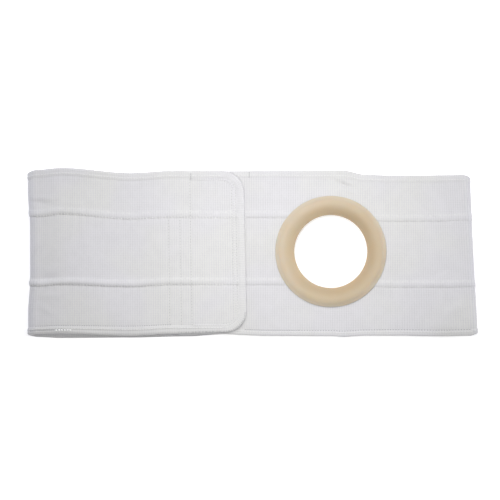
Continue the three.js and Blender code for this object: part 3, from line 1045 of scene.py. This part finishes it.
def moulded(name):
    """Matt beige elastomer: paler towards the thin rim and darker amber towards the bore, each partly its own
    colour and partly painted light and shade; painted shade also darkens it towards the right and the bottom.
    """
    shader = Shader(name, Roughness=0.55, Specular_IOR_Level=0.3, Subsurface_Weight=0.6,
                    Subsurface_Radius=(1.0, 0.65, 0.4), Subsurface_Scale=0.006)
    split = shader.add("ShaderNodeSeparateXYZ", {0: shader.place})
    away_x = shader.math("SUBTRACT", split.outputs[0], RING_X * MM)
    away_y = shader.math("SUBTRACT", split.outputs[1], RING_Y * MM)
    square = shader.math("ADD", *(shader.math("MULTIPLY", away, away) for away in (away_x, away_y)))
    mottle = shader.math("MULTIPLY", shader.noise(38.0, 3.0), 0.004)
    radius = shader.math("ADD", shader.math("SQRT", square), mottle)
    # painted shade: darker towards the right and the bottom of the ring, where less light falls
    right = shader.ramp(shader.math("ADD", away_x, mottle), -40 * MM, 44 * MM)
    low = shader.ramp(shader.math("MULTIPLY", away_y, -1), 18 * MM, 50 * MM)
    side = shader.math("MAXIMUM", right, low)
    # the second colour of each pair is a shaded copy of the first, for that painted shade
    inner = shader.mix(side, (0.508, 0.41, 0.28), (0.455, 0.352, 0.232))
    outer = shader.mix(side, (0.54, 0.456, 0.35), (0.522, 0.431, 0.308))
    # darker amber towards the bore: partly the elastomer's own colour, partly painted shade on the inner
    # slope
    body = shader.mix(shader.ramp(radius, 45 * MM, 56 * MM), inner, outer)
    # paler towards the thin rim: partly the thin elastomer over white cloth, partly painted light
    shader.colour(shader.mix(shader.ramp(radius, 55 * MM, 62 * MM), body, (0.59, 0.51, 0.405)))
    grain = shader.noise(1400.0, 3.0, 0.6)
    shader.bump(grain, 0.12, 0.0002)
    return shader.material


elastic = woven("ribbed_elastic", (0.675, 0.673, 0.66), (0.665, 0.657, 0.688), 0.83, 1.9,
                Roughness=0.92, Specular_IOR_Level=0.15, Sheen_Weight=0.05, Sheen_Roughness=0.5)
tape = woven("binding_tape", (0.66, 0.658, 0.647), (0.65, 0.643, 0.668), 0.88, 1.6,
             Roughness=0.92, Specular_IOR_Level=0.15)
nap = brushed("brushed_inside", (0.94, 0.94, 0.94), (0.88, 0.88, 0.885))
sewing = thread("sewing_thread", (0.73, 0.73, 0.73))
fine_thread = thread("fine_thread", (0.66, 0.66, 0.66))
white_thread = thread("white_thread", (0.71, 0.71, 0.71))
loop_thread = thread("loop_thread", (0.94, 0.94, 0.94))
# a dark material for stitch holes, tucks and bar tacks: painted shade in those holes and grooves
hole = thread("needle_hole_shade", (0.38, 0.38, 0.4))
# a grey material for needle dimples and gathers: painted shade in those dimples and pleats
dimple_shade = thread("dimple_shade", (0.5, 0.5, 0.51))
hook = hooks("hook_tape")
rubber = moulded("beige_elastomer")


# Pieces

cloth_pieces = {
    "upper_panel": cut_opening(strip(
        "upper_elastic", BELT, lapped_edge(BELT, "seam1"), hem_edge(BELT, "top", -1), 14, [elastic, nap])),
    "lower_panel": cut_opening(strip(
        "lower_elastic", BELT, hem_edge(BELT, "bottom", 1), tucked_edge(BELT, "seam2"), 18, [elastic, nap])),
}
for node, name, first, last in (
    ("middle_panel_front", "middle_elastic_front", 0, RING_INDEX + 1),
    ("middle_panel", "middle_elastic", RING_INDEX, None),
):
    stretch = part_of(BELT, first, last)
    cloth_pieces[node] = cut_opening(strip(
        name, stretch, lapped_edge(stretch, "seam2"), tucked_edge(stretch, "seam1"), 18, [elastic, nap]))

binding_pieces = {
    "upper_binding": edge_binding("upper_tape", "top", 1, [tape]),
    "lower_binding": edge_binding("lower_tape", "bottom", -1, [tape]),
    "flap_binding": flap_binding("flap_tape", [tape]),
}
hook_piece = hook_panel("hook_tape", [hook])
ring_piece = opening_ring("opening_ring_soft", [rubber])

hem_rows = [
    row_along(line, CREST_SHARE, 0, height, STITCH) for line in HEMS for height in (crest, UNDER_TAPE)
]
panel_rows = [row_down(*line) for line in STITCH_LINES]
border_rows = [row_round(set_in(BORDER, by)) for by in BORDER_ROWS]
loose_rows = [row_along(
    "bottom", share=0.46, more=0, height=above_crest, pitch=3.0, first=FLAP_FROM + 22, last=FLAP_FROM + 40)]
hem_holes = [row_along("bottom", 1, *hole_row) for hole_row in HEM_HOLES]
# dark beads in the bunched lower hem near the flap: painted shade in its tucks
hem_tucks = [row_along(
    "bottom", share=0.5, more=0, height=2.0, pitch=2.2, first=FLAP_FROM - 14, last=FLAP_FROM + 34)]
tack_rows = [bar_tack(first, *ends) for first, *ends in TACKS]

sewn_pieces = sewn((
    ("hem_stitches", hem_rows, (2.7, 0.95, 0.55), sewing),
    ("seam_teeth", over_seams(-1.2, 1.4, TOOTH, FLAP_FROM), (2.8, 1.0, 0.55), white_thread),
    ("seam_loops", over_seams(-0.9, 1.4, TOOTH, SEAM_FIRST, FLAP_FROM), (2.3, 0.8, 0.4), fine_thread),
    ("seam_stitches", over_seams(3.9, 7.6, OVERLOCK), (3.9, 0.75, 0.3), white_thread),
    ("panel_stitches", panel_rows, (2.2, 0.6, 0.4), fine_thread),
    ("border_stitches", border_rows, (2.2, 0.7, 0.35), fine_thread),
))
sewn_pieces.append(border_ridge("border_ridge", [elastic]))
sewn_pieces += sewn((
    ("loose_loops", loose_rows, (2.5, 2.0, 1.2), loop_thread),
    ("needle_holes", [needle_holes(panel_rows)], (1.0, 0.9, 0.3), dimple_shade),
    ("border_holes", [needle_holes(border_rows)], (0.9, 0.85, 0.3), dimple_shade),
    ("hem_holes", hem_holes, (1.6, 0.9, 0.3), hole),
    ("hem_tucks", hem_tucks, (2.1, 1.2, 0.4), hole),
    ("edge_gathers", [gathers(1.1, 1.85)], (2.8, 0.9, 0.4), dimple_shade),
    ("bar_tacks", tack_rows, (1.5, 0.7, 0.4), hole),
))

# The pieces that take the place of the part's nodes, whose own meshes are hidden, and the stitches, all on
# the root body
main_pieces = {**cloth_pieces, **binding_pieces, "hook_panel": hook_piece, "opening_ring": ring_piece}
for node, piece in main_pieces.items():
    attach(piece, "root")
    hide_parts(node)
for piece in sewn_pieces:
    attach(piece, "root")


# Stage, light and camera


def floor():
    shader = Shader("pale_floor", Roughness=0.9, Specular_IOR_Level=0.0, Base_Color=(0.95, 0.95, 0.95, 1),
                    Emission_Color=(1, 1, 1, 1), Emission_Strength=0.5)
    bpy.ops.mesh.primitive_plane_add(size=6, location=(0, 0, -0.0004))
    made = bpy.context.object
    made.name = "floor"
    made.data.materials.append(shader.material)


WHITE = (1, 1, 1)

# Soft lights: name, place and target in metres, diameter, power and colour
LIGHTS = (
    ("key", (0.12, 0.75, 0.7), (0.03, 0, 0), 0.5, 2.15, WHITE),
    ("fill", (0.0, -0.8, 0.4), (0.0, -0.03, 0), 0.5, 0.3, WHITE),
    ("top", (0.02, 0.05, 0.40), (0.02, 0.03, 0), 0.3, 1.31, (1, 1, 0.97)),
    ("left", (-0.72, 0.28, 0.16), (-0.2, 0, 0), 0.4, 1.23, (0.85, 0.88, 1)),
    ("right", (0.75, 0.1, 0.14), (0.2, 0, 0), 0.4, 1.47, (0.91, 0.93, 1)),
)
WORLD_LIGHT = 0.318


def area_light(name, location, target, size, power, colour):
    data = bpy.data.lights.new(name, "AREA")
    data.shape = "DISK"
    data.size = size
    data.energy = power
    data.color = colour
    made = bpy.data.objects.new(name, data)
    made.location = location
    direction = Vector(target) - Vector(location)
    made.rotation_euler = direction.to_track_quat("-Z", "Y").to_euler()
    made.visible_camera = False
    bpy.context.scene.collection.objects.link(made)


def world(strength):
    made = bpy.data.worlds.new("studio")
    made.use_nodes = True
    background = made.node_tree.nodes["Background"].inputs
    background["Color"].default_value = (*WHITE, 1)
    background["Strength"].default_value = strength
    bpy.context.scene.world = made


PIXEL = 1.08              # size of one in the photograph, at the height of the front layer
PIXELS_ACROSS = 500
VIEW_X = -3.12
VIEW_Y = 2.7
VIEW_Z = 10


def camera():
    """Straight above, framed as the photograph."""
    frame_width = PIXELS_ACROSS * PIXEL * MM
    distance = 5.0
    data = bpy.data.cameras.new("camera")
    data.sensor_width = 36
    data.lens = data.sensor_width * distance / frame_width
    data.clip_end = 20
    made = bpy.data.objects.new("camera", data)
    made.location = (VIEW_X * MM, VIEW_Y * MM, distance + VIEW_Z * MM)
    made.rotation_euler = (0, 0, 0)
    bpy.context.scene.collection.objects.link(made)
    bpy.context.scene.camera = made


floor()
world(WORLD_LIGHT)
for light in LIGHTS:
    area_light(*light)
camera()
bpy.context.scene.view_settings.view_transform = "Standard"
